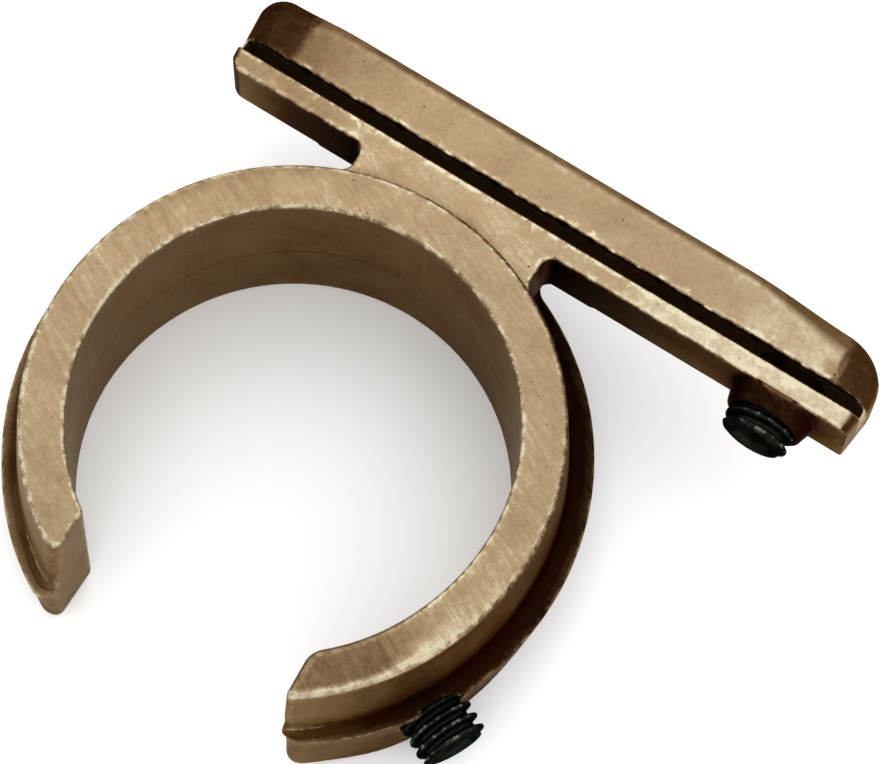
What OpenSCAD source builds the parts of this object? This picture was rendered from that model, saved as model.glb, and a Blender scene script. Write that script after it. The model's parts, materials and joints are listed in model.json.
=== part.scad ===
// Open-ring rod adapter: a C ring that clamps a round rod, a web, and a straight slotted rail.
// The ring lies on its back face. The origin is on the bore axis in that face, +Z leaves the front
// face, +X runs along the rail towards its long end and +Y runs from the ring to the rail.

/* [Ring] */
// Radius of the bore that takes the rod
bore_r = 12; // [11.8:0.1:12.2]
// Depth of the ring along its axis
ring_d = 12.4; // [12:0.1:13]
// Outer radius of the front collar, at the foot of the front bevel
collar_r = 14.5; // [14.3:0.1:14.7]
// How much the collar grows from its front edge down to the cove
collar_draft = 0.35; // [0.2:0.05:0.5]
// Width of the small bevel around the front face
bevel = 0.15; // [0.05:0.05:0.3]
// Height of the flange's sharp rim above the back face
rim_z = 5.6; // [5.4:0.1:5.8]
// Radius of the flange at its rim
flange_r = 16.05; // [16:0.05:16.2]
// How far the flange's centre sits from the bore axis towards the rail
flange_shift = 0.5; // [0.4:0.05:0.7]
// How much the flange shrinks from its rim to the back face
flange_draft = 0.7; // [0.4:0.1:0.9]

/* [Mouth] */
// Width of the gap between the two tips
mouth_w = 13.9; // [13:0.1:15]
// How far the gap's middle sits from the bore axis, towards the long end of the rail
mouth_shift = 0.4; // [0:0.1:1]
// Radius on the outer corner of each tip, on the collar
collar_tip_r = 0.45; // [0.3:0.05:0.6]
// Radius on the outer corner of each tip, on the flange
flange_tip_r = 1.1; // [0.8:0.1:1.3]

/* [Web] */
// Left side of the web
web_x0 = -5.25; // [-6:0.05:-5]
// Right side of the web
web_x1 = 6.35; // [6:0.05:7]
// Radius of the fillets between web and rail
web_fillet = 0.6; // [0.4:0.1:0.8]
// How much narrower, on each side, the foot is that joins web and flange
foot_inset = 0.4; // [0.2:0.1:0.8]
// How far the foot reaches below the flange's rim
foot_drop = 1; // [0.5:0.1:2]

/* [Rail] */
// Left end of the rail
rail_x0 = -14.2; // [-15:0.1:-13.5]
// Right end of the rail
rail_x1 = 25.2; // [25:0.1:26]
// How much shorter the lip is than the head, at each end
end_taper = 0.5; // [0.3:0.1:0.8]
// Underside of the rail, on the ring's side
rail_y0 = 15.4; // [15.3:0.05:15.6]
// Outer side of the rail
rail_y1 = 20.65; // [20:0.05:21]
// Depth of the rail from its front to its back
rail_d = 4.4; // [4.3:0.05:4.6]
// How far the rail's front lies below the ring's front face
rail_drop = 0.3; // [0.2:0.05:0.5]
// Thickness of the lower lip
lip_h = 1.1; // [0.9:0.05:1.3]
// Width of the slot
slot_w = 0.8; // [0.6:0.05:1]
// Depth of the slot from the rail's front
slot_d = 3.4; // [3:0.1:3.5]
// Distance from each end of the rail to the slot's closed end
slot_end = 0.6; // [0.4:0.1:1.2]
// Radius on the outer corner at the short end, seen from the front
corner_r = 1.6; // [1:0.1:2.2]
// Radius on the outer corner at the long end, seen from the front
long_corner_r = 3; // [2:0.1:3.2]
// Radius on the head's front edge at both ends
end_round = 1.7; // [1:0.1:2]
// Radius on the head's long front edge
edge_round = 0.8; // [0.5:0.1:1.2]

/* [Set screws] */
// Outer radius of the thread
screw_r = 1.97; // [1.95:0.01:2]
// Thread pitch
pitch = 0.7; // [0.7:0.05:0.75]
// Depth of the thread
thread_d = 0.4; // [0.3:0.05:0.43]
// Radius of both threaded holes
hole_r = 2.04; // [2.02:0.01:2.05]
// Hex socket, across its flats
socket_af = 2; // [1.9:0.1:2.1]
// Length of the screw in the ring
rod_screw_l = 5; // [4.5:0.5:6]
// Distance from the bore axis to that screw's outer end
rod_screw_out = 17.6; // [17:0.1:18]
// Height of that screw's axis above the back face
rod_screw_z = 3.1; // [3:0.1:3.3]
// Angle of that screw below the rail's direction
rod_screw_a = 28; // [26:0.1:32]
// Distance from the bore axis to the flat that is cut around that screw
spot_out = 15.6; // [15.4:0.1:15.7]
// Radius of that flat
spot_r = 3; // [2.6:0.1:3]
// Length of the screw in the rail
rail_screw_l = 3; // [3:0.5:3]
// Place of the rail screw along the rail
rail_screw_x = 20.65; // [19:0.05:21]
// Height of the rail screw's outer end above the bore axis
rail_screw_out = 12.95; // [12.8:0.05:13.2]
// Height of the tapered boss around the rail screw
boss_h = 1.3; // [1:0.1:1.4]
// Radius of that boss where it meets the rail
boss_r = 2.5; // [2.4:0.05:2.6]

/* [Hidden] */
brass = "#8d7550";
black_oxide = "#1c1d1a";
$fn = 96;
over = 1;
rail_z1 = ring_d - rail_drop;
rail_z0 = rail_z1 - rail_d;
rail_zm = (rail_z0 + rail_z1) / 2;
slot_y0 = rail_y0 + lip_h;
slot_y1 = slot_y0 + slot_w;
cove_z = rim_z + 1.5;
cove_r = collar_r + collar_draft;
socket_depth = 1.8;
tip_cut = 30;

// Points on an arc about c, with radius r, from angle a0 to a1.
function arc(c, r, a0, a1, steps = 8) =
    [for (i = [0:steps]) c + r * [cos(a0 + (a1 - a0) * i / steps), sin(a0 + (a1 - a0) * i / steps)]];

// Outline of a bar with its two far corners rounded, in the plane of width and height.
function rounded_top(w0, w1, h0, h1, r) = concat(
    [[w0, h0], [w1, h0]],
    arc([w1 - r, h1 - r], r, 0, 90),
    arc([w0 + r, h1 - r], r, 90, 180));

// Front collar: bevelled at the front, growing a little down to the cove.
module collar() {
    rotate_extrude() polygon([
        [bore_r - over, 0],
        [cove_r, 0],
        [cove_r, cove_z],
        [collar_r, ring_d - bevel],
        [collar_r - bevel, ring_d],
        [bore_r - over, ring_d]]);
}

// Flange: a sharp rim, a hollow cove up to the collar and a little draft down to the back.
module flange() {
    cove_w = flange_r - cove_r;
    cove_h = cove_z - rim_z;
    translate([0, flange_shift, 0]) rotate_extrude() polygon(concat(
        [[bore_r - over, 0], [flange_r - flange_draft, 0], [flange_r, rim_z]],
        [for (t = [1:6]) [flange_r - cove_w * sin(15 * t), cove_z - cove_h * cos(15 * t)]],
        [[bore_r - over, cove_z]]));
}

// What a tip of outer radius r loses beyond a round of radius t on its outer corner. The tip's flat
// end is at side_x, s points from the mouth into the tip, and y0 is the centre of the outer radius.
module tip_corner(side_x, s, r, t, y0) {
    cx = side_x + s * t;
    cy = -sqrt(pow(r - t, 2) - pow(cx, 2));
    reach = 1.3;
    translate([0, y0]) difference() {
        polygon([[side_x - s, cy], [cx, cy], [cx, cy] * reach, [side_x - s, cy * reach]]);
        translate([cx, cy]) circle(t);
    }
}

// The gap between the tips, with both outer corners rounded.
module mouth() {
    left = mouth_shift - mouth_w / 2;
    right = mouth_shift + mouth_w / 2;
    translate([left, -tip_cut, -over]) cube([mouth_w, tip_cut, ring_d + 2 * over]);
    for (end = [[left, -1], [right, 1]]) {
        translate([0, 0, cove_z]) linear_extrude(ring_d)
            tip_corner(end[0], end[1], collar_r, collar_tip_r, 0);
        translate([0, 0, -over]) linear_extrude(over + cove_z)
            tip_corner(end[0], end[1], flange_r, flange_tip_r, flange_shift);
    }
}

// Web between ring and rail, as deep as the rail, with a fillet on each side where it meets the
// rail. Behind it a foot fills the space down to the flange.
module web() {
    f = web_fillet;
    translate([web_x0 + foot_inset, bore_r, rim_z - foot_drop])
        cube([web_x1 - web_x0 - 2 * foot_inset, slot_y0 - bore_r, rail_zm - rim_z + foot_drop]);
    translate([0, 0, rail_z0]) linear_extrude(rail_d) difference() {
        polygon([[web_x0, bore_r], [web_x1, bore_r], [web_x1, rail_y0 - f], [web_x1 + f, rail_y0],
            [web_x1 + f, slot_y0], [web_x0 - f, slot_y0], [web_x0 - f, rail_y0], [web_x0, rail_y0 - f]]);
        for (c = [web_x0 - f, web_x1 + f]) translate([c, rail_y0 - f]) circle(f);
    }
}

// Lip and head of the rail as one bar, seen from the front: outer corners rounded, ends tapering
// towards the lip.
module rail_plan() {
    translate([0, 0, rail_z0]) linear_extrude(rail_d) polygon(concat(
        [[rail_x0 + end_taper, rail_y0], [rail_x1 - end_taper, rail_y0]],
        arc([rail_x1 - long_corner_r, rail_y1 - long_corner_r], long_corner_r, 0, 90),
        arc([rail_x0 + corner_r, rail_y1 - corner_r], corner_r, 90, 180)));
}

// The head's round front edges: along both ends, and along its outer side.
module head_rounding() {
    translate([0, rail_y1 + over, 0]) rotate([90, 0, 0]) linear_extrude(rail_y1 + over - slot_y0)
        polygon(rounded_top(rail_x0, rail_x1, rail_z0 - over, rail_z1, end_round));
}

module head_edge() {
    rotate([90, 0, 90]) translate([0, 0, rail_x0 - over]) linear_extrude(rail_x1 - rail_x0 + 2 * over)
        polygon(concat(
            [[rail_y0 - over, rail_z0 - over], [rail_y1, rail_z0 - over]],
            arc([rail_y1 - edge_round, rail_z1 - edge_round], edge_round, 0, 90),
            [[rail_y0 - over, rail_z1]]));
}

// Rail: the lip below the slot keeps square ends, the head above it is rounded.
module rail() {
    intersection() {
        rail_plan();
        head_edge();
        union() {
            head_rounding();
            translate([rail_x0, rail_y0, rail_z0])
                cube([rail_x1 - rail_x0, lip_h + slot_w / 2, rail_d]);
        }
    }
}

// Tapered boss around the rail screw, cut level with the rail's front and back.
module rail_boss() {
    intersection() {
        translate([rail_screw_x, rail_y0 + over / 2, rail_zm]) rotate([90, 0, 0])
            cylinder(h = boss_h + over / 2, r1 = boss_r, r2 = hole_r + 0.1);
        translate([rail_screw_x - 5, 0, rail_z0]) cube([10, rail_y1, rail_d]);
    }
}

// Puts what it is given on the rod screw's axis, its Z pointing out of the ring.
module on_rod_screw_axis() {
    rotate([0, 0, -rod_screw_a]) translate([0, 0, rod_screw_z]) rotate([0, 90, 0]) children();
}

module ring_adapter() {
    color(brass) difference() {
        union() {
            collar();
            flange();
            web();
            rail();
            rail_boss();
        }
        translate([0, 0, -over]) cylinder(h = ring_d + 2 * over, r = bore_r);
        mouth();
        // Slot along the rail, open at the front and closed at both ends.
        translate([rail_x0 + slot_end, slot_y0, rail_z1 - slot_d])
            cube([rail_x1 - rail_x0 - 2 * slot_end, slot_w, slot_d + over]);
        // Hole for the rail screw, from the boss into the slot.
        translate([rail_screw_x, slot_y1, rail_zm]) rotate([90, 0, 0])
            cylinder(h = slot_y1 - rail_y0 + boss_h + over, r = hole_r);
        // Hole for the rod screw, and the flat around it.
        on_rod_screw_axis() translate([0, 0, bore_r - over]) cylinder(h = rod_screw_l + over, r = hole_r);
        on_rod_screw_axis() translate([0, 0, spot_out]) cylinder(h = over, r = spot_r);
    }
}

// Set screw of length l: threaded all along, chamfered at both ends, its socket at z = 0 facing +Z.
module set_screw(l) {
    root_r = screw_r - thread_d;
    turns = floor((l - pitch) / pitch);
    z0 = -l + (l - turns * pitch) / 2;
    difference() {
        rotate_extrude() polygon(concat(
            [[0, -l], [root_r - 0.1, -l], [root_r, z0]],
            [for (i = [0:turns - 1]) for (p = [[root_r, 0.1], [screw_r, 0.42], [screw_r, 0.58], [root_r, 0.9]])
                [p[0], z0 + (i + p[1]) * pitch]],
            [[root_r, -0.15], [screw_r - 0.15, -0.15], [screw_r - 0.25, 0], [0, 0]]));
        translate([0, 0, -socket_depth])
            cylinder(h = socket_depth + over, r = socket_af / 2 / cos(30), $fn = 6);
    }
}

module rod_screw() {
    color(black_oxide) on_rod_screw_axis() translate([0, 0, rod_screw_out]) set_screw(rod_screw_l);
}

module rail_screw() {
    color(black_oxide) translate([rail_screw_x, rail_screw_out, rail_zm]) rotate([90, 0, 0])
        set_screw(rail_screw_l);
}

ring_adapter();
rod_screw();
rail_screw();
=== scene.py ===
"""Open-ring rod adapter in burnished antique brass with two black set screws.

The casting is one solid, so it is meshed from one formula: the signed distance, in millimetres, to
a ring, a web and a rail that are joined, rounded and cut as the real casting is. Both screws get a
true helical thread and a hex socket. The bore, the ring's depth, the rail's outer face and the
screws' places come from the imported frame, and the other sizes are named below.
"""

import json
import math

import bpy
import numpy as np
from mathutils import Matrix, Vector


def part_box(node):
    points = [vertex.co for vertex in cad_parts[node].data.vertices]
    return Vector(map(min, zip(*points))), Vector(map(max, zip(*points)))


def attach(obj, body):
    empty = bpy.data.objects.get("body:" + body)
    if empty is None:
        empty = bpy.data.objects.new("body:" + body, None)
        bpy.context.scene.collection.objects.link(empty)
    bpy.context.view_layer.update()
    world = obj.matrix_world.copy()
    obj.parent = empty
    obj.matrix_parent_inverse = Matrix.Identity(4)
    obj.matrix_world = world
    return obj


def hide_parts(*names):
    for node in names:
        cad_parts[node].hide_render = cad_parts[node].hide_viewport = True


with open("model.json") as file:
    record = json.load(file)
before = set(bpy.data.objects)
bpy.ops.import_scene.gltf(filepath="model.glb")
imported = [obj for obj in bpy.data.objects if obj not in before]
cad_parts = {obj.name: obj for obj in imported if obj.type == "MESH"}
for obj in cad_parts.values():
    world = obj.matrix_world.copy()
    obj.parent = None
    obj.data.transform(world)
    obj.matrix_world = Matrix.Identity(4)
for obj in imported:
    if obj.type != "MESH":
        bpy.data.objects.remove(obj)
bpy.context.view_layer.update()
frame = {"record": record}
record = frame["record"]
MM = 0.001

# ---------------------------------------------------------------- sizes, in millimetres
mount = {m["name"]: m for m in record["mounts"]}
cast_lo, cast_hi = (np.array(corner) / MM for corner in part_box("ring_adapter"))

# the ring: a collar in front, a cove behind it, and a wider flange at the back
BORE_R = mount["rod_clamp"]["dims"]["r_mm"]
RING_D = cast_hi[2]
COLLAR_R = 14.5  # at the front face
COLLAR_DRAFT = 0.35  # what the collar gains down to the cove
COVE_Z = 7.1  # front end of the cove
COVE_R = COLLAR_R + COLLAR_DRAFT
COVE_W = 0.3  # least width of the cove
COVE_SCALE = 1.1  # turns the cove's ellipse into about a distance
COVE_FILLET = 0.02
TIP_FILLET = 0.7  # what that fillet gains at the tips
RIM_Z = 5.6  # front end of the flange
RIM_EDGE = 0.12
FLANGE_R = 16.05  # at the rim
FLANGE_SHIFT = 0.5  # how far the flange's centre lies above the bore's
FLANGE_DRAFT = 0.7  # what the flange loses down to the back face
FACE_EDGE = 0.2
ARM_WEAR = 0.25  # what the face's edge gains on the arm with the rod screw
BACK_EDGE = 0.3
TIP_BACK_EDGE = 1.1  # the back edge at the right tip

# its two arms, bent a little out of round, and the mouth between their tips; tuples are left, right
ARM_SPRING = 0.42  # how far the arm with the rod screw is bent outwards
ARM_TURN = 55  # how many degrees below +X it is bent that far
RIM_SPRING = 0.2  # the flange's share of that bend
LEFT_SPRING = 0.15  # how far the flange of the left tip stands out
MOUTH_LEFT = -6.57  # the left tip's end, at the front face
MOUTH_RIGHT = 7.4  # the right tip's end
MOUTH_DEPTH = 0.78 * BORE_R  # how far below the bore's axis that is measured
MOUTH_LEAN = 0.065  # what its x loses for each millimetre up
MOUTH_TOP = -3  # the cut of the mouth stays below this y
LEFT_DRAFT = 0.02  # how far the left tip's end falls back for each millimetre of depth
COLLAR_TIP_R = (0.9, 0.5)  # outer corners of the tips, in front
FLANGE_TIP_R = 1.3  # outer corners of both tips, at the flange
INNER_TIP_R = (0.2, 0.5)  # corners towards the bore

# the web between ring and rail, and its foot down to the flange
WEB_X = (-5.25, 6.35)
WEB_FLOOR = 3  # least height of the web above the bore's axis
WEB_SPREAD = 3  # how far its fillets may reach to either side
WEB_LAP = 2  # how far its plate runs on past the slot before it is cut off
WEB_FILLET = 0.6
RING_FILLET = 0.4
RING_LAP = 0.1  # how far the round that the fillet starts from stands outside the collar
BORE_WALL = 0.6  # how far web and foot stay outside the bore
FOOT_INSET = 0.4
FOOT_DROP = 1.0
FOOT_FILLET = 0.6

# the rail: a lip with crisp edges below the slot and a head with round ones above it
RAIL_DROP = 0.3  # how far its front face lies behind the ring's
RAIL_D = 4.4
RAIL_X = (-14.42, 25.4)
RAIL_Y = (15.4, cast_hi[1])
RAIL_Y_DRAFT = 0.03
RAIL_Z1 = RING_D - RAIL_DROP
RAIL_Z0 = RAIL_Z1 - RAIL_D
RAIL_ZM = (RAIL_Z0 + RAIL_Z1) / 2
END_TAPER = 0.4  # what each end loses from the head down to the lip
CORNER_R = (1.5, 3.2)  # the head's corners, left and right
LIP_CORNER_R = (0.8, 0.15)
HEAD_EDGE = 0.85
HEAD_END_EDGE = (1.5, 2.1)  # the head's front edge at its left and right ends
LEFT_END = (9, 13)  # how far left of the bore's axis the edge grows to that radius
RIGHT_END = (16, 23)
LIP_EDGE = 0.14
LIP_END_EDGE = (0.4, 0.8)
SLOT_Y = (16.5, 17.3)
SLOT_D = 3.4
SLOT_END = 0.45  # what is left of the rail at each end of the slot
SLOT_CORNER = 0.2
SLOT_EDGE = 0.1
SLOT_WANDER = 0.06  # unevenness of the slot's upper side

# the screws, their holes, the flat round one and the boss round the other
SCREW_R = 1.97
PITCH = 0.7
THREAD_D = 0.42
ROD_SCREW_L = 5
RAIL_SCREW_L = 3
SOCKET_R = 1.0  # to the middle of a flat
SOCKET_D = 1.7
DRILL_TIP = 0.3  # how much deeper the socket's drilled middle is
HOLE_R = 2.01
HOLE_EDGE = 0.08
ROD_HOLE_START = BORE_R - 2  # inside the bore, so that the hole opens into it
SPOT_OUT = 15.3  # distance from the bore's axis to the flat
SPOT_R = 2.7
BOSS_H = 1.3
BOSS_R = (2.6, 2.2)  # at the rail and at the far end
BOSS_STEP = 0.18  # how far the boss stands out in front of the lip
BOSS_EDGE = 0.15
BOSS_FILLET = 0.1
OFF_PLANE = 0.05  # keeps two joined shapes from ending in one plane

joint_axis = {j["child"]: np.array(j["axis"]) for j in record["behaviour"]["joints"]}
rod_out = -joint_axis["rod_screw"]
rail_out = -joint_axis["rail_screw"]


def middle(node):
    """The middle of a CAD node, in millimetres."""
    lo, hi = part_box(node)
    return (np.array(lo) + np.array(hi)) / 2 / MM


ROD_SCREW_AT = middle("rod_screw")
RAIL_SCREW_AT = middle("rail_screw")

# ---------------------------------------------------------------- camera, lights and floor
CAMERA_AT = (39.48, -60.23, 238.08)  # in millimetres
CAMERA_TURN = (18.212, -1.620, 32.090)  # in degrees
CAMERA_LENS = 183.26
# lights and floor are in metres
LIGHT_AIM = (0.004, 0.004, 0.005)
FLOOR_HALF = 3.0
FLOOR_DROP = 0.00003  # keeps the floor just under the ring's back face


def add_camera():
    data = bpy.data.cameras.new("camera")
    data.lens = CAMERA_LENS
    data.sensor_width = 36
    data.clip_start = 0.01
    data.clip_end = 10
    camera = bpy.data.objects.new("camera", data)
    camera.location = Vector(CAMERA_AT) * MM
    camera.rotation_euler = [math.radians(a) for a in CAMERA_TURN]
    bpy.context.collection.objects.link(camera)
    bpy.context.scene.camera = camera


def add_light(name, place, size, watts):
    """A square white soft box of that size in metres, aimed at the part."""
    data = bpy.data.lights.new(name, "AREA")
    data.shape = "SQUARE"
    data.size = size
    data.energy = watts
    light = bpy.data.objects.new(name, data)
    light.location = place
    aim = Vector(LIGHT_AIM) - light.location
    light.rotation_euler = aim.to_track_quat("-Z", "Y").to_euler()
    bpy.context.collection.objects.link(light)


def add_world(colour, strength):
    world = bpy.data.worlds.new("studio")
    world.use_nodes = True
    background = world.node_tree.nodes["Background"]
    background.inputs["Color"].default_value = (*colour, 1)
    background.inputs["Strength"].default_value = strength
    bpy.context.scene.world = world


def add_floor():
    """Plain pale floor under the part."""
    mesh = bpy.data.meshes.new("floor")
    signs = ((-1, -1), (1, -1), (1, 1), (-1, 1))
    corners = [(sx * FLOOR_HALF, sy * FLOOR_HALF, -FLOOR_DROP) for sx, sy in signs]
    mesh.from_pydata(corners, [], [(0, 1, 2, 3)])
    floor = bpy.data.objects.new("floor", mesh)
    bpy.context.collection.objects.link(floor)
    material = bpy.data.materials.new("floor")
    material.use_nodes = True
    shader = material.node_tree.nodes["Principled BSDF"]
    shader.inputs["Base Color"].default_value = (0.96, 0.96, 0.96, 1)
    shader.inputs["Roughness"].default_value = 0.9
    mesh.materials.append(material)


# ---------------------------------------------------------------- distances
def meet(a, b, r):
    """What is inside both shapes, with the edge between them rounded to radius r."""
    return np.minimum(-r, np.maximum(a, b)) + np.hypot(np.maximum(a + r, 0), np.maximum(b + r, 0))


def join(a, b, r):
    """What is inside either shape, with a fillet of radius r between them."""
    return -meet(-a, -b, r)


def between(value, lo, hi):
    """Negative between lo and hi."""
    return np.maximum(lo - value, value - hi)


def ramp(value, lo, hi):
    """0 below lo, 1 above hi, smooth between."""
    t = np.clip((value - lo) / (hi - lo), 0, 1)
    return t * t * (3 - 2 * t)


def blend(low, high, share):
    return low + (high - low) * share


def wander(x, size):
    """A small worn unevenness along x, the same each run."""
    waves = ((1.1, 0.3, 0.4), (3.1, 2.0, 0.3), (7.3, 1.1, 0.3))
    return size * sum(share * np.sin(rate * x + start) for rate, start, share in waves)


def on_arm(turn, start, full, tip=-90):
    """1 on the arm with the rod screw: it rises from start to full, in degrees below +X."""
    return ramp(-turn, start, full) * ramp(turn, -100, tip)


def spring(turn):
    """How far the arm with the rod screw is bent out of round, at a turn in degrees from +X."""
    along = np.clip(-turn / ARM_TURN, 0, 1.2)
    before_left_arm = np.clip((turn + 110) / 25, 0, 1)
    return ARM_SPRING * along**1.6 * before_left_arm


def ring_side(rho, rim, z, turn):
    """Outer side of the ring: drafted collar, cove that fills up at the tips, rim and drafted flange."""
    collar = rho - COLLAR_R - COLLAR_DRAFT * (RING_D - z) / (RING_D - COVE_Z)
    wall = rim - FLANGE_R + FLANGE_DRAFT * (RIM_Z - z) / RIM_Z
    width = np.maximum((rho - COVE_R) - (rim - FLANGE_R), COVE_W)
    cove = COVE_SCALE * (1 - np.hypot((FLANGE_R - rim) / width, (COVE_Z - z) / (COVE_Z - RIM_Z)))
    flange = np.maximum(meet(wall, cove, RIM_EDGE), z - COVE_Z)
    by_left_tip = ramp(turn, -136, -122) * ramp(-turn, 100, 110)
    by_right_tip = on_arm(turn, 46, 58)
    fill = np.maximum(by_left_tip, by_right_tip) * ramp(z, RIM_Z - 0.2, RIM_Z + 0.4)
    return join(collar, flange, COVE_FILLET + TIP_FILLET * fill)


def ring(x, y, z):
    """The open ring with its two tips."""
    turn = np.degrees(np.arctan2(y, x))
    bent = spring(turn)
    rho = np.hypot(x, y) - bent
    left_arm = LEFT_SPRING * ramp(-turn, 110, 116) * ramp(turn, -150, -125)
    rim = np.hypot(x, y - FLANGE_SHIFT) - RIM_SPRING * bent - left_arm
    left = MOUTH_LEFT - LEFT_DRAFT * (RING_D - z)
    right = MOUTH_RIGHT - MOUTH_LEAN * (y + MOUTH_DEPTH)
    gap = np.maximum(np.maximum(left - x, x - right), y - MOUTH_TOP)
    collar_tip_r = np.where(x > 0, COLLAR_TIP_R[1], COLLAR_TIP_R[0])
    tip_r = blend(collar_tip_r, FLANGE_TIP_R, ramp(-z, -COVE_Z - 1.5, 0.5 - RIM_Z))
    inner_r = np.where(x > 0, INNER_TIP_R[1], INNER_TIP_R[0])
    solid = np.maximum(meet(ring_side(rho, rim, z, turn), -gap, tip_r), meet(BORE_R - rho, -gap, inner_r))
    worn_edge = FACE_EDGE + ARM_WEAR * on_arm(turn, 15, 45, -80)
    back_edge = blend(BACK_EDGE, TIP_BACK_EDGE, on_arm(turn, 36, 52, -80))
    return meet(meet(solid, z - RING_D, worn_edge), -z, back_edge)


def rail_under(z):
    """Height of the rail's drafted under side."""
    return RAIL_Y[0] - RAIL_Y_DRAFT * (z - RAIL_Z0)


def rail(x, y, z):
    """Lip with crisp edges and head with round ones, in one bar."""
    shoulder = RAIL_Y[1] - CORNER_R[0]
    lean = np.clip((shoulder - y) / (shoulder - RAIL_Y[0]), 0, 1)
    left = RAIL_X[0] + END_TAPER * lean - x
    right = x - (RAIL_X[1] - END_TAPER * lean)
    upper = y - RAIL_Y[1]
    lower = rail_under(z) - y
    top = z - RAIL_Z1
    corners = np.maximum(meet(left, upper, CORNER_R[0]), meet(right, upper, CORNER_R[1]))
    low_corners = np.maximum(meet(left, lower, LIP_CORNER_R[0]), meet(right, lower, LIP_CORNER_R[1]))
    plan = np.maximum(corners, low_corners)
    head_edge = blend(HEAD_EDGE, HEAD_END_EDGE[0], ramp(-x, *LEFT_END))
    head_edge = blend(head_edge, HEAD_END_EDGE[1], ramp(x, *RIGHT_END))
    head = meet(corners, top, head_edge)
    lip = np.maximum(meet(left, top, LIP_END_EDGE[0]), meet(right, top, LIP_END_EDGE[1]))
    lip = np.maximum(lip, meet(plan, top, LIP_EDGE))
    share = ramp(y, SLOT_Y[0] - 0.02, SLOT_Y[0] + 0.3)
    return meet(np.maximum(plan, lip + (head - lip) * share), RAIL_Z0 - z, BACK_EDGE)


def web(x, y, z):
    """The web, filleted in plan to ring and rail."""
    plate = np.maximum(between(x, *WEB_X), between(y, BORE_R, SLOT_Y[0] + WEB_LAP))
    plan = join(plate, rail_under(z) - y, WEB_FILLET)
    plan = join(plan, np.hypot(x, y) - COLLAR_R - RING_LAP, RING_FILLET)
    reach = np.maximum(y - SLOT_Y[0], between(x, WEB_X[0] - WEB_SPREAD, WEB_X[1] + WEB_SPREAD))
    plan = np.maximum(np.maximum(plan, reach), BORE_R + BORE_WALL - np.hypot(x, y))
    plan = np.maximum(plan, WEB_FLOOR - y)
    return np.maximum(meet(plan, z - RAIL_Z1, LIP_EDGE), RAIL_Z0 - z)


def foot(x, y, z):
    """Metal between web and flange."""
    across = between(x, WEB_X[0] + FOOT_INSET, WEB_X[1] - FOOT_INSET)
    sides = np.maximum(across, between(y, BORE_R + BORE_WALL, SLOT_Y[0]))
    return np.maximum(sides, between(z, RIM_Z - FOOT_DROP, RAIL_ZM))


def off_rail_screw(x, z):
    """Distance from the rail screw's axis."""
    return np.hypot(x - RAIL_SCREW_AT[0], z - RAIL_ZM)


def boss(x, y, z):
    """The tapered boss round the rail screw, below the lip."""
    cone = BOSS_R[0] + (BOSS_R[1] - BOSS_R[0]) * (RAIL_Y[0] - y) / BOSS_H
    height = between(z, RAIL_Z0 + OFF_PLANE, RAIL_Z1 + BOSS_STEP)
    body = np.maximum(off_rail_screw(x, z) - cone, height)
    return np.maximum(meet(body, RAIL_Y[0] - BOSS_H - y, BOSS_EDGE), y - rail_under(z) - OFF_PLANE)


def slot_room(x, y, z):
    """The slot, with its upper side a little uneven near the front."""
    uneven = wander(x, SLOT_WANDER) * ramp(z, RAIL_Z1 - 0.9, RAIL_Z1 - 0.3)
    length = between(x, RAIL_X[0] + SLOT_END, RAIL_X[1] - SLOT_END)
    width = between(y, SLOT_Y[0], SLOT_Y[1] + uneven)
    return np.maximum(meet(length, width, SLOT_CORNER), RAIL_Z1 - SLOT_D - z)


def casting(x, y, z):
    """Signed distance to the casting's surface, negative inside, in millimetres."""
    solid = join(ring(x, y, z), foot(x, y, z), FOOT_FILLET)
    solid = np.minimum(solid, web(x, y, z))
    solid = np.minimum(solid, rail(x, y, z))
    solid = join(solid, boss(x, y, z), BOSS_FILLET)
    solid = meet(solid, -slot_room(x, y, z), SLOT_EDGE)
    rail_hole = np.maximum(off_rail_screw(x, z) - HOLE_R, y - SLOT_Y[1])
    solid = meet(solid, -rail_hole, HOLE_EDGE)
    along = x * rod_out[0] + y * rod_out[1]
    aside = np.hypot(y * rod_out[0] - x * rod_out[1], z - ROD_SCREW_AT[2])
    spot = np.maximum(aside - SPOT_R, SPOT_OUT - along)
    rod_hole = np.maximum(aside - HOLE_R, ROD_HOLE_START - along)
    return meet(meet(solid, -spot, HOLE_EDGE), -rod_hole, HOLE_EDGE)


def slope(places):
    """Gradient of the casting's distance at those places."""
    step = 0.01
    parts = [casting(*(places + s).T) - casting(*(places - s).T) for s in np.eye(3) * step]
    return np.stack(parts, 1) / (2 * step)


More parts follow.
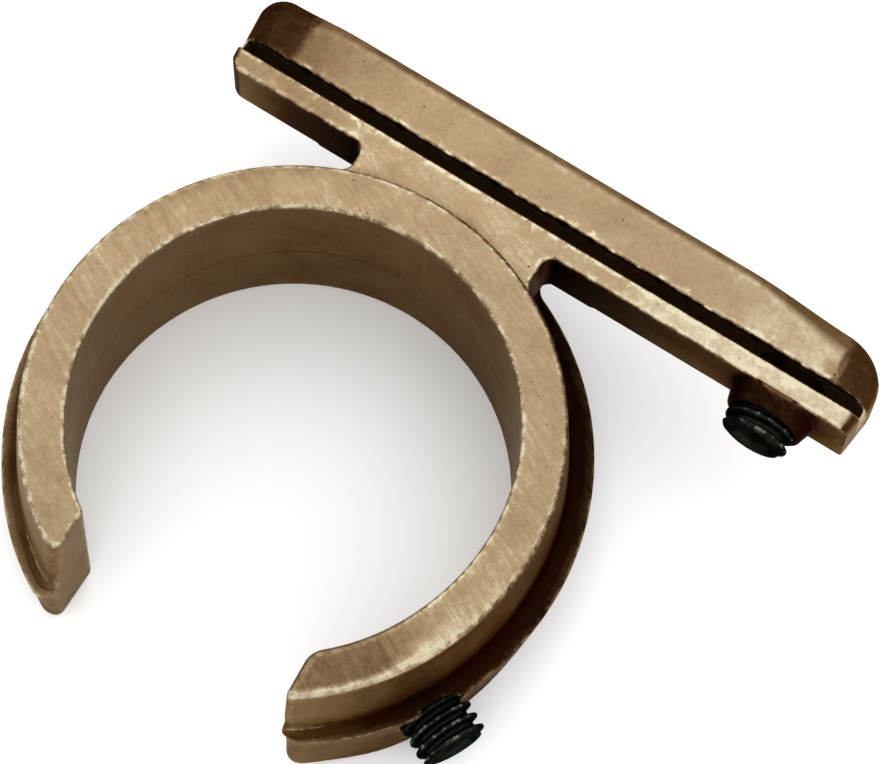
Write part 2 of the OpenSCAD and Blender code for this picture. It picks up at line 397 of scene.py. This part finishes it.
# ---------------------------------------------------------------- meshing
def surface_net(lo, hi, step):
    """Quads on the surface of casting() between lo and hi: one point for each cell it crosses."""
    x, y, z = (np.arange(a, b + step, step) for a, b in zip(lo, hi))
    across = y[None, :, None]
    upright = z[None, None, :]
    slabs = [casting(part[:, None, None], across, upright) for part in np.array_split(x, NET_SLABS)]
    value = np.concatenate(slabs).astype(np.float32)
    inside = value < 0
    corners = [(i, j, k) for i in (0, 1) for j in (0, 1) for k in (0, 1)]
    size = np.array(value.shape) - 1
    crowd = np.zeros(size, np.int8)
    for i, j, k in corners:
        crowd += inside[i:i + size[0], j:j + size[1], k:k + size[2]]
    cells = np.argwhere((crowd > 0) & (crowd < len(corners)))
    number = np.full(size, -1, np.int32)
    number[tuple(cells.T)] = np.arange(len(cells))
    at_corner = [value[tuple((cells + c).T)] for c in corners]
    total = np.zeros((len(cells), 3))
    count = np.zeros(len(cells))
    for a in range(len(corners)):
        for b in range(a + 1, len(corners)):
            ca, cb = np.array(corners[a]), np.array(corners[b])
            if np.abs(ca - cb).sum() != 1:
                continue
            crossed = (at_corner[a] < 0) != (at_corner[b] < 0)
            share = at_corner[a][crossed] / (at_corner[a][crossed] - at_corner[b][crossed])
            total[crossed] += ca + share[:, None] * (cb - ca)
            count[crossed] += 1
    points = np.array([x[0], y[0], z[0]]) + (cells + total / count[:, None]) * step
    quads = []
    for axis in range(3):
        u, v = (axis + 1) % 3, (axis + 2) % 3
        near = np.take(inside, range(size[axis]), axis)
        far = np.take(inside, range(1, size[axis] + 1), axis)
        edges = np.argwhere(near != far)
        above = (edges[:, u] > 0) & (edges[:, v] > 0)
        below = (edges[:, u] < size[u]) & (edges[:, v] < size[v])
        edges = edges[above & below]
        outward = near[tuple(edges.T)]
        back_u, back_v = np.eye(3, dtype=int)[u], np.eye(3, dtype=int)[v]
        round_edge = [edges - back_u - back_v, edges - back_v, edges, edges - back_u]
        quad = np.stack([number[tuple(c.T)] for c in round_edge], 1)
        quad[~outward] = quad[~outward][:, ::-1]
        quads.append(quad)
    return points, np.concatenate(quads)


def settle(points, rounds=3):
    """Moves points onto the casting's surface, by at most 0.1 mm in each round."""
    for _ in range(rounds):
        grade = slope(points)
        steepness = np.maximum((grade**2).sum(1), 0.2)
        move = casting(*points.T)[:, None] * grade / steepness[:, None]
        reach = np.linalg.norm(move, axis=1, keepdims=True)
        points = points - move * np.minimum(1, 0.1 / np.maximum(reach, 1e-9))
    return points


def mesh_object(name, points, faces):
    """A new smooth object from points in millimetres."""
    mesh = bpy.data.meshes.new(name)
    mesh.from_pydata((np.asarray(points) * MM).tolist(), [], [list(map(int, f)) for f in faces])
    mesh.validate()
    mesh.update()
    mesh.shade_smooth()
    made = bpy.data.objects.new(name, mesh)
    bpy.context.collection.objects.link(made)
    return made


def thin_out(obj, triangles):
    """Replaces the object's mesh by one of about that many triangles."""
    now = len(obj.data.polygons) * 2
    if now > triangles:
        modifier = obj.modifiers.new("thin", "DECIMATE")
        modifier.ratio = triangles / now
        graph = bpy.context.evaluated_depsgraph_get()
        thinner = bpy.data.meshes.new_from_object(obj.evaluated_get(graph))
        obj.modifiers.clear()
        obj.data = thinner
        thinner.shade_smooth()


def read_points(mesh):
    flat = np.empty(len(mesh.vertices) * 3)
    mesh.vertices.foreach_get("co", flat)
    return flat.reshape(-1, 3) / MM


def write_points(mesh, points):
    mesh.vertices.foreach_set("co", (points * MM).ravel())
    mesh.update()


def add_number(mesh, name, values):
    """Stores one number at each vertex, for the material to read."""
    layer = mesh.attributes.new(name, "FLOAT", "POINT")
    layer.data.foreach_set("value", np.asarray(values, np.float32))


# ---------------------------------------------------------------- wear and patina
# tones: 0 black-brown patina, 0.45 brown, 0.8 burnished, 1 cream; tuples are left, right
RING_FACE = 0.75
ARM_FACE = 0.46  # the ring's face on the arm with the rod screw
ARM_TIP_LOSS = 0.07
SMOKY_LOSS = 0.16  # the darker outer part of the face, far left
ARM_BAND_HIGHLIGHT = 1.0  # painted highlight along the arm's outer edge, where its bevel catches the light
ARM_BAND_HIGHLIGHT_SHARE = 0.85
# painted highlight on the arm's rounded outer edge
ARM_EDGE_HIGHLIGHT = 0.92
ARM_EDGE_HIGHLIGHT_SHARE = 0.8
HEAD_FACE = (0.5, 0.74)
HEAD_GAIN = 0.1  # at the head's right end
LIP_FACE = (0.64, 0.93)
WEB_FACE = 0.8
RING_SIDE = 0.6
RAIL_SHADE_LOSS = 0.32  # painted shade on the ring's side, beside the rail
LEFT_GAIN = 0.04  # on the ring's lower left side
# painted shade in the cove under the rim
COVE_SHADE_LOSS = 0.2
FLANGE_SIDE = 0.4  # the flange's own side, lighter, in that stretch of painted shade
FLANGE_SHARE = 0.8
BORE_SIDE = 0.63
BORE_TOP_SHADE = 0.13  # painted shade at the top of the bore, which faces down
TIP_END = 0.72
RAIL_TOP = 0.42  # the head's outer side
RAIL_UNDER = 0.2
UNDER_GAIN = (0.34, 0.09)  # towards the ends of the rail's under side
UNDER_BACK_GAIN = 0.1  # towards the back of the under side
RAIL_END = (0.02, 0.14)
RAIL_END_GAIN = (0.36, 0.4)  # where the end faces squarely left or right
BOSS_SIDE = 0.03
HEAD_SHADOW = (0.04, 0.2)  # the head's dark rounded ends
HEAD_SHADOW_SHARE = 0.9
HEAD_SHADOW_X = (-11.3, 22.8)  # where they begin
SLOT_WALL = 0.75
PATINA_AND_SHADE_LOSS = 0.4  # painted shade together with patina, deep in corners

CURVE_REACH = 0.16  # how far from the surface its curvature is measured, in millimetres
WORN_GAIN = 0.16
SHADE_REACH = (0.5, 1.1, 2.2)  # how far out the surface is tested for metal in the way, in millimetres
HOLLOW_GAIN = 1.3


def head_side(y, full):
    """1 above the slot, 0 below it."""
    return ramp(y, SLOT_Y[0] + 0.2, full)


def face_tone(x, y, turn, rho):
    """Front faces: burnished, darker on the arm with the rod screw, palest on the lip's right end, with a
    painted highlight along that arm's outer edge.
    """
    dark_arm = on_arm(turn, 22, 42)
    ring_face = blend(RING_FACE, ARM_FACE, dark_arm) - ARM_TIP_LOSS * dark_arm * ramp(-turn, 60, 75)
    # painted highlight: a bright strip along the outer edge of the arm with the rod screw
    band_from = 13.0 + 1.2 * ramp(-turn, 15, 48)
    band = ramp(rho, band_from, band_from + 0.5) * on_arm(turn, 5, 30)
    smoky = ramp(rho, 13.6, 14.5) * ramp(turn, 95, 120) * ramp(-turn, -175, -150)
    ring_face = blend(ring_face, ARM_BAND_HIGHLIGHT, ARM_BAND_HIGHLIGHT_SHARE * band) - SMOKY_LOSS * smoky
    head = blend(*HEAD_FACE, ramp(x, -12, -5)) + HEAD_GAIN * ramp(x, 12, 19)
    lip = blend(*LIP_FACE, ramp(x, -4, 21))
    on_lip = ramp(y, 15.0, 15.3) * ramp(np.abs(x), 6, 7)
    rail_face = blend(blend(WEB_FACE, lip, on_lip), head, head_side(y, SLOT_Y[1] - 0.2))
    off_ring = ramp(rho, COLLAR_R, COLLAR_R + 0.1) * ramp(y, 2, 4)
    return blend(ring_face, rail_face, off_ring)


def ring_side_tone(x, y, z, turn, rho, nx):
    """The ring's sides: brown at the tips, with painted shade near black beside the rail and dark in the
    cove and the bore.
    """
    # painted shade: the ring's side beside the rail is made near black
    black = ramp(turn, -58, -30) * ramp(-turn, -100, -85)
    lower_left = ramp(np.abs(turn), 105, 135) * ramp(-y, -13, -6)
    # painted shade: the cove is darkened
    in_cove = ramp(z, RIM_Z, RIM_Z + 0.3) * ramp(-z, -COVE_Z - 0.9, -COVE_Z)
    side = RING_SIDE - RAIL_SHADE_LOSS * black + LEFT_GAIN * lower_left - COVE_SHADE_LOSS * in_cove
    flange_band = ramp(-z, -RIM_Z, -RIM_Z + 0.4) * ramp(-turn, 12, 24)
    side = blend(side, FLANGE_SIDE, FLANGE_SHARE * flange_band * black)
    # painted shade: the bore darkens towards its top, which faces down
    upwards = y / np.maximum(rho, 1e-6)
    bore = BORE_SIDE - BORE_TOP_SHADE * ramp(upwards, 0.3, 0.95)
    tone = blend(side, bore, ramp(-rho, -12.7, -12.2))
    tip_end = ramp(-y, 8, 9) * ramp(np.abs(nx), 0.7, 0.95) * ramp(-np.abs(x), -8.8, -8.2)
    return blend(tone, TIP_END, tip_end)


def on_boss(x, y, z):
    """1 on the boss round the rail screw."""
    below_lip = ramp(-y, -15.25, -15.15)
    before_lip = ramp(z, RAIL_Z1 + 0.02, RAIL_Z1 + 0.06)
    return np.maximum(below_lip, before_lip) * ramp(x, 17.4, 17.8) * ramp(y, 13, 13.5)


def end_shadow(x, z):
    """1 where the head's rounded ends are left dark, with a rough limit to the burnished face."""
    rough = 0.12 * np.sin(5 * x + 9 * z) + 0.1 * np.sin(13 * x - 4 * z)
    left = ramp(rough - x, -HEAD_SHADOW_X[0] - 0.4, -HEAD_SHADOW_X[0] + 0.5)
    right = ramp(x + rough, HEAD_SHADOW_X[1] - 0.3, HEAD_SHADOW_X[1] + 0.3)
    return np.maximum(left, right)


def rail_side_tone(x, y, z, nx, ny):
    """The rail's sides: dark below the lip, browner at its ends, dark brown rounded ends."""
    ends = UNDER_GAIN[0] * ramp(-x, 9.5, 13.6) + UNDER_GAIN[1] * ramp(x, 9, 14)
    under = RAIL_UNDER + ends + UNDER_BACK_GAIN * ramp(-z, -10.5, -8.5)
    left_end = RAIL_END[0] + RAIL_END_GAIN[0] * ramp(-nx, 0.85, 1)
    right_end = RAIL_END[1] + RAIL_END_GAIN[1] * ramp(nx, 0.7, 1)
    tone = blend(RAIL_TOP, under, ramp(-ny, 0.1, 0.6))
    tone = blend(tone, left_end, ramp(-nx, 0.05, 0.3))
    tone = blend(tone, right_end, ramp(nx, 0.05, 0.3))
    by_boss = ramp(x, 17.9, 18.2) * ramp(-x, -23.4, -23.1) * ramp(-y, -15.15, -15.05)
    return blend(tone, BOSS_SIDE, by_boss)


def in_slot(y, z):
    """1 on the slot's walls, except close to the front."""
    between_walls = ramp(y, SLOT_Y[0] - 0.05, SLOT_Y[0]) * ramp(-y, -SLOT_Y[1] - 0.05, -SLOT_Y[1])
    return between_walls * ramp(-z, -11.9, -11.6)


def casting_tone(points, normals, hollow_patina_and_shade):
    """How bright the metal is at each point, painted shade and highlights included."""
    x, y, z = points.T
    nx, ny, nz = normals.T
    turn = np.degrees(np.arctan2(y, x))
    rho = np.hypot(x, y) - spring(turn)
    rail_ends = ramp(y, 13.9, 14.0) * ramp(np.abs(x), 8, 9)
    on_rail = np.maximum(rail_ends, ramp(y, 15.1, 15.3)) * ramp(z, RAIL_Z0 - 0.3, RAIL_Z0)
    tone = blend(ring_side_tone(x, y, z, turn, rho, nx), rail_side_tone(x, y, z, nx, ny), on_rail)
    shadow = end_shadow(x, z) * on_rail * head_side(y, SLOT_Y[1] - 0.1)
    front_or_back = np.maximum(ramp(z, 10.8, 11.4), ramp(-z, -0.4, -0.2))
    face = ramp(np.abs(nz), 0.86, 0.985) * front_or_back * (1 - on_boss(x, y, z)) * (1 - shadow)
    tone = blend(tone, face_tone(x, y, turn, rho), face)
    shadow_tone = blend(*HEAD_SHADOW, ramp(x, 0, 1))
    tone = blend(tone, shadow_tone, HEAD_SHADOW_SHARE * shadow * ramp(nz, 0.1, 0.5))
    # painted highlight on that arm's rounded outer edge
    arm_edge = ramp(rho, 14.0, 14.2) * ramp(z, 12.0, 12.2) * on_arm(turn, 5, 30)
    tone = blend(tone, ARM_EDGE_HIGHLIGHT, ARM_EDGE_HIGHLIGHT_SHARE * arm_edge)
    # painted shade and patina darken the hollows, except on the slot's walls
    return blend(tone - PATINA_AND_SHADE_LOSS * hollow_patina_and_shade, SLOT_WALL, in_slot(y, z) * on_rail)


def finish_casting(obj):
    """Settles the points, sets true normals and stores what the material reads."""
    mesh = obj.data
    points = settle(read_points(mesh), 2)
    write_points(mesh, points)
    grade = slope(points)
    normals = grade / np.maximum(np.linalg.norm(grade, axis=1, keepdims=True), 1e-9)
    sides = [s * CURVE_REACH * axis for axis in np.eye(3) for s in (-1, 1)]
    bend = sum(casting(*(points + side).T) for side in sides) / CURVE_REACH**2
    convex = np.clip(bend * WORN_GAIN, 0, 1)
    open_share = np.mean([np.clip(casting(*(points + h * normals).T) / h, 0, 1) for h in SHADE_REACH], 0)
    # painted shade: ambient occlusion, darker where nearby metal is in the way, together with the patina
    # of the hollows
    hollow_patina_and_shade = np.clip((1 - open_share) * HOLLOW_GAIN, 0, 1)
    mesh.normals_split_custom_set_from_vertices(normals.tolist())
    add_number(mesh, "tone", casting_tone(points, normals, hollow_patina_and_shade))
    add_number(mesh, "worn", convex * (1 - on_boss(*points.T)))


# ---------------------------------------------------------------- materials
PATINA = (
    (0.0, (0.010, 0.0035, 0.0012)),
    (0.25, (0.045, 0.022, 0.0085)),
    (0.45, (0.115, 0.070, 0.034)),
    (0.62, (0.18, 0.121, 0.064)),
    (0.8, (0.25, 0.182, 0.105)),
    (1.0, (0.42, 0.375, 0.262)))
BLACK_OXIDE = (
    (0.0, (0.008, 0.0105, 0.0075)),
    (0.35, (0.014, 0.018, 0.013)),
    (0.85, (0.045, 0.050, 0.041)),
    (1.0, (0.13, 0.135, 0.12)))
# reflection at a glancing angle, darker than bare metal's
BRASS_GLANCE = (0.52, 0.45, 0.40, 1)
OXIDE_GLANCE = (0.16, 0.19, 0.15, 1)
BRUSH_TURN = (0, 0, 26)
PIT_DEPTH = 0.4
PARTING_LOSS = 0.2


class Nodes:
    """Short ways to add shader nodes."""

    def __init__(self, name):
        self.material = bpy.data.materials.new(name)
        self.material.use_nodes = True
        self.tree = self.material.node_tree
        self.shader = self.tree.nodes["Principled BSDF"]

    def add(self, kind, **settings):
        node = self.tree.nodes.new(kind)
        for key, value in settings.items():
            setattr(node, key, value)
        return node

    def link(self, source, target):
        self.tree.links.new(source, target)

    def feed(self, socket, value):
        """Sets the socket to a number or links it to another node's output."""
        if isinstance(value, (int, float)):
            socket.default_value = value
        else:
            self.link(value, socket)

    def maths(self, operation, a, b=0.0):
        node = self.add("ShaderNodeMath", operation=operation)
        self.feed(node.inputs[0], a)
        self.feed(node.inputs[1], b)
        return node.outputs[0]

    def steps(self, value, lo, hi, to_lo=0.0, to_hi=1.0):
        """to_lo below lo, to_hi above hi, smooth between."""
        node = self.add("ShaderNodeMapRange", interpolation_type="SMOOTHSTEP")
        for socket, number in zip(node.inputs, (value, lo, hi, to_lo, to_hi)):
            self.feed(socket, number)
        return node.outputs[0]

    def number(self, name):
        """The number that each vertex stores under that name."""
        return self.add("ShaderNodeAttribute", attribute_name=name).outputs["Fac"]

    def place(self, turn=(0, 0, 0), scale=(1, 1, 1)):
        """Object coordinates in millimetres, turned by degrees and then scaled."""
        where = self.add("ShaderNodeTexCoord").outputs["Object"]
        turned = self.add("ShaderNodeVectorRotate", rotation_type="EULER_XYZ")
        self.link(where, turned.inputs["Vector"])
        turned.inputs["Rotation"].default_value = [math.radians(a) for a in turn]
        stretched = self.add("ShaderNodeVectorMath", operation="MULTIPLY")
        self.link(turned.outputs[0], stretched.inputs[0])
        stretched.inputs[1].default_value = [s / MM for s in scale]
        return stretched.outputs[0]

    def noise(self, where, scale, detail=3.0, roughness=0.5):
        node = self.add("ShaderNodeTexNoise")
        self.link(where, node.inputs["Vector"])
        node.inputs["Scale"].default_value = scale
        node.inputs["Detail"].default_value = detail
        node.inputs["Roughness"].default_value = roughness
        return node.outputs[0]

    def colours(self, value, stops):
        node = self.add("ShaderNodeValToRGB")
        ramp_stops = node.color_ramp.elements
        while len(ramp_stops) < len(stops):
            ramp_stops.new(0.5)
        for stop, (place, colour) in zip(ramp_stops, stops):
            stop.position = place
            stop.color = (*colour, 1)
        self.link(value, node.inputs[0])
        return node.outputs[0]

    def bump(self, height, distance, strength, before=None):
        node = self.add("ShaderNodeBump")
        node.inputs["Distance"].default_value = distance * MM
        node.inputs["Strength"].default_value = strength
        self.link(height, node.inputs["Height"])
        if before is not None:
            self.link(before, node.inputs["Normal"])
        return node.outputs[0]


def brass_material():
    """Antique brass: black-brown patina with painted shade in the hollows, brown sides, brushed and worn
    bright faces.
    """
    n = Nodes("antique_brass")
    plain = n.place()
    facing = n.add("ShaderNodeSeparateXYZ")
    n.link(n.add("ShaderNodeTexCoord").outputs["Normal"], facing.inputs[0])
    flat = n.steps(n.maths("ABSOLUTE", facing.outputs[2]), 0.85, 0.98)
    where = n.add("ShaderNodeSeparateXYZ")
    n.link(plain, where.inputs[0])
    x, y, z = where.outputs
    # brushing slants across ring and web and fades out on the rail
    broad = n.noise(n.place(BRUSH_TURN, (0.5, 3.2, 1)), 1.0, 3.0, 0.6)
    fine = n.noise(n.place(BRUSH_TURN, (1.2, 14, 1)), 1.0, 3.0, 0.6)
    brushed = n.maths("SUBTRACT", n.maths("MULTIPLY", n.maths("ADD", broad, fine), 0.5), 0.5)
    depth = n.maths("MULTIPLY", flat, n.steps(y, 14.5, 16.0, 0.55, 0.12))
    strokes = n.maths("MULTIPLY", brushed, depth)
    clouds = n.maths("MULTIPLY", n.maths("SUBTRACT", n.noise(plain, 0.4, 3.0), 0.5), 0.26)
    speckle = n.maths("MULTIPLY", n.maths("SUBTRACT", n.noise(plain, 3.5, 5.0, 0.75), 0.5), 0.3)
    pits = n.steps(n.noise(plain, 4.2, 2.0, 0.4), 0.72, 0.77, 0.0, -PIT_DEPTH)
    # metal rubbed bare along the edges, in patches
    patchy = n.steps(n.noise(plain, 1.7, 4.0, 0.65), 0.40, 0.6, 0.02, 0.5)
    bare = n.maths("MULTIPLY", n.number("worn"), patchy)
    # the parting line inside the bore
    radius = n.maths("SQRT", n.maths("ADD", n.maths("MULTIPLY", x, x), n.maths("MULTIPLY", y, y)))
    off_line = n.maths("ABSOLUTE", n.maths("SUBTRACT", z, RIM_Z))
    in_bore = n.steps(radius, BORE_R + 0.5, BORE_R + 0.7, 1.0, 0.0)
    line = n.maths("MULTIPLY", n.steps(off_line, 0.03, 0.1, 1.0, 0.0), in_bore)
    shade = n.number("tone")
    for part in (strokes, clouds, speckle, pits, bare, n.maths("MULTIPLY", line, -PARTING_LOSS)):
        shade = n.maths("ADD", shade, part)
    n.link(n.colours(shade, PATINA), n.shader.inputs["Base Color"])
    n.shader.inputs["Metallic"].default_value = 1.0
    n.shader.inputs["Specular Tint"].default_value = BRASS_GLANCE
    rough = n.maths("ADD", n.steps(shade, 0.2, 0.9, 0.5, 0.38), n.maths("MULTIPLY", brushed, 0.15))
    n.link(rough, n.shader.inputs["Roughness"])
    height = n.maths("ADD", strokes, n.maths("MULTIPLY", pits, 0.6))
    skin = n.bump(n.noise(plain, 4.0, 3.0, 0.6), 0.02, 0.35)
    n.link(n.bump(height, 0.03, 0.5, skin), n.shader.inputs["Normal"])
    return n.material


def screw_material():
    """Black oxide on steel, a little green, rubbed grey along the thread's crest."""
    n = Nodes("black_oxide")
    plain = n.place()
    rubbed = n.maths("MULTIPLY", n.number("crest"), n.steps(n.noise(plain, 2.5, 3.0), 0.45, 0.65))
    shade = n.maths("ADD", rubbed, n.maths("MULTIPLY", n.noise(plain, 6.0, 4.0), 0.2))
    n.link(n.colours(shade, BLACK_OXIDE), n.shader.inputs["Base Color"])
    n.shader.inputs["Metallic"].default_value = 1.0
    n.shader.inputs["Specular Tint"].default_value = OXIDE_GLANCE
    n.link(n.steps(n.noise(plain, 4.0, 3.0), 0.3, 0.7, 0.4, 0.58), n.shader.inputs["Roughness"])
    n.link(n.bump(n.noise(plain, 9.0, 3.0), 0.01, 0.4), n.shader.inputs["Normal"])
    return n.material


# ---------------------------------------------------------------- pieces
NET_STEP = 0.12  # spacing of the grid that the casting is meshed on
NET_MARGIN = 0.6  # how far that grid reaches past the CAD casting
NET_SLABS = 12  # the grid is worked out in slabs, to save memory
CASTING_TRIANGLES = 190_000
SCREW_SIDES = 96
THREAD_ROWS = 14  # rows of points for each turn of the thread
SOCKET_BEVEL = 0.03


def make_casting(material):
    """Ring, web and rail as one mesh."""
    step = NET_STEP
    points, quads = surface_net(cast_lo - NET_MARGIN, cast_hi + NET_MARGIN, step)
    obj = mesh_object("casting", settle(points), quads)
    thin_out(obj, CASTING_TRIANGLES)
    finish_casting(obj)
    obj.data.materials.append(material)
    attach(obj, "casting")
    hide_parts("ring_adapter")


def screw_points(length):
    """Rings of points from the inner end to the socket's bottom, the outer end at 0 facing +Z."""
    angle = np.arange(SCREW_SIDES) * 2 * np.pi / SCREW_SIDES
    unit = np.stack([np.cos(angle), np.sin(angle)], 1)
    root = SCREW_R - THREAD_D
    rings = []
    crest = []

    def add(radius, z, worn=0.0):
        radius = np.broadcast_to(radius, (SCREW_SIDES,))
        rings.append(np.column_stack([unit * radius[:, None], np.full(SCREW_SIDES, z)]))
        crest.append(np.broadcast_to(worn, (SCREW_SIDES,)))

    # inner end, with a shallow cup
    add(0.15, -length + 0.35)
    add(root - 0.45, -length + 0.03)
    add(root - 0.3, -length)
    # thread, bevelled at both ends
    for z in np.arange(-length + 0.02, -0.05, PITCH / THREAD_ROWS):
        lead = (z / PITCH - angle / (2 * np.pi)) % 1
        ridge = np.clip(1.25 - np.abs(lead - 0.5) * 3.2, 0, 1)
        ridge = ridge * ridge * (3 - 2 * ridge)
        inner_bevel = root - 0.28 + (z + length) * 1.1
        outer_bevel = SCREW_R - 0.08 + (-0.14 - z) * 1.2
        radius = np.minimum(np.minimum(root + THREAD_D * ridge, inner_bevel), outer_bevel)
        add(radius, z, ridge**3)
    # outer end and the bevel into the socket
    end_r = np.minimum(SCREW_R - 0.25, root + 0.1)
    add(end_r, -0.02, 0.3)
    add(end_r - 0.06, 0.0, 0.5)
    add(1.38, 0.0, 0.4)
    add(1.33, -0.02, 0.3)
    # hex socket
    hexagon = SOCKET_R / np.cos((angle + np.pi / 6) % (np.pi / 3) - np.pi / 6)
    add(hexagon * 0.99 + SOCKET_BEVEL, -0.22)
    add(hexagon, -0.27)
    add(hexagon, -SOCKET_D)
    add(0.2, -SOCKET_D - DRILL_TIP)
    return np.concatenate(rings), np.concatenate(crest), len(rings)


def make_screw(node, length, outward, material):
    """A set screw on the CAD screw's axis, with its socket at the outer end."""
    points, crest, rows = screw_points(length)
    around = np.arange(SCREW_SIDES)
    faces = []
    for row in range(rows - 1):
        a = row * SCREW_SIDES + around
        b = row * SCREW_SIDES + (around + 1) % SCREW_SIDES
        faces += np.stack([a, b, b + SCREW_SIDES, a + SCREW_SIDES], 1).tolist()
    faces.append(around[::-1].tolist())
    faces.append(((rows - 1) * SCREW_SIDES + around).tolist())
    turn = np.array(Vector(outward).to_track_quat("Z", "Y").to_matrix())
    place = middle(node) + np.array(outward) * length / 2
    obj = mesh_object(node + "_threaded", points @ turn.T + place, faces)
    obj.data.set_sharp_from_angle(angle=math.radians(50))
    add_number(obj.data, "crest", crest)
    obj.data.materials.append(material)
    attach(obj, node)
    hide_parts(node)


add_camera()
add_world((1.0, 1.0, 1.0), 1.45)
add_floor()
add_light("key", (-0.25, 0.35, 0.7), 0.5, 1.2)
add_light("fill", (0.5, -0.3, 0.6), 0.4, 0.5)
bpy.context.scene.view_settings.view_transform = "Standard"

make_casting(brass_material())
black_oxide = screw_material()
make_screw("rod_screw", ROD_SCREW_L, rod_out, black_oxide)
make_screw("rail_screw", RAIL_SCREW_L, rail_out, black_oxide)
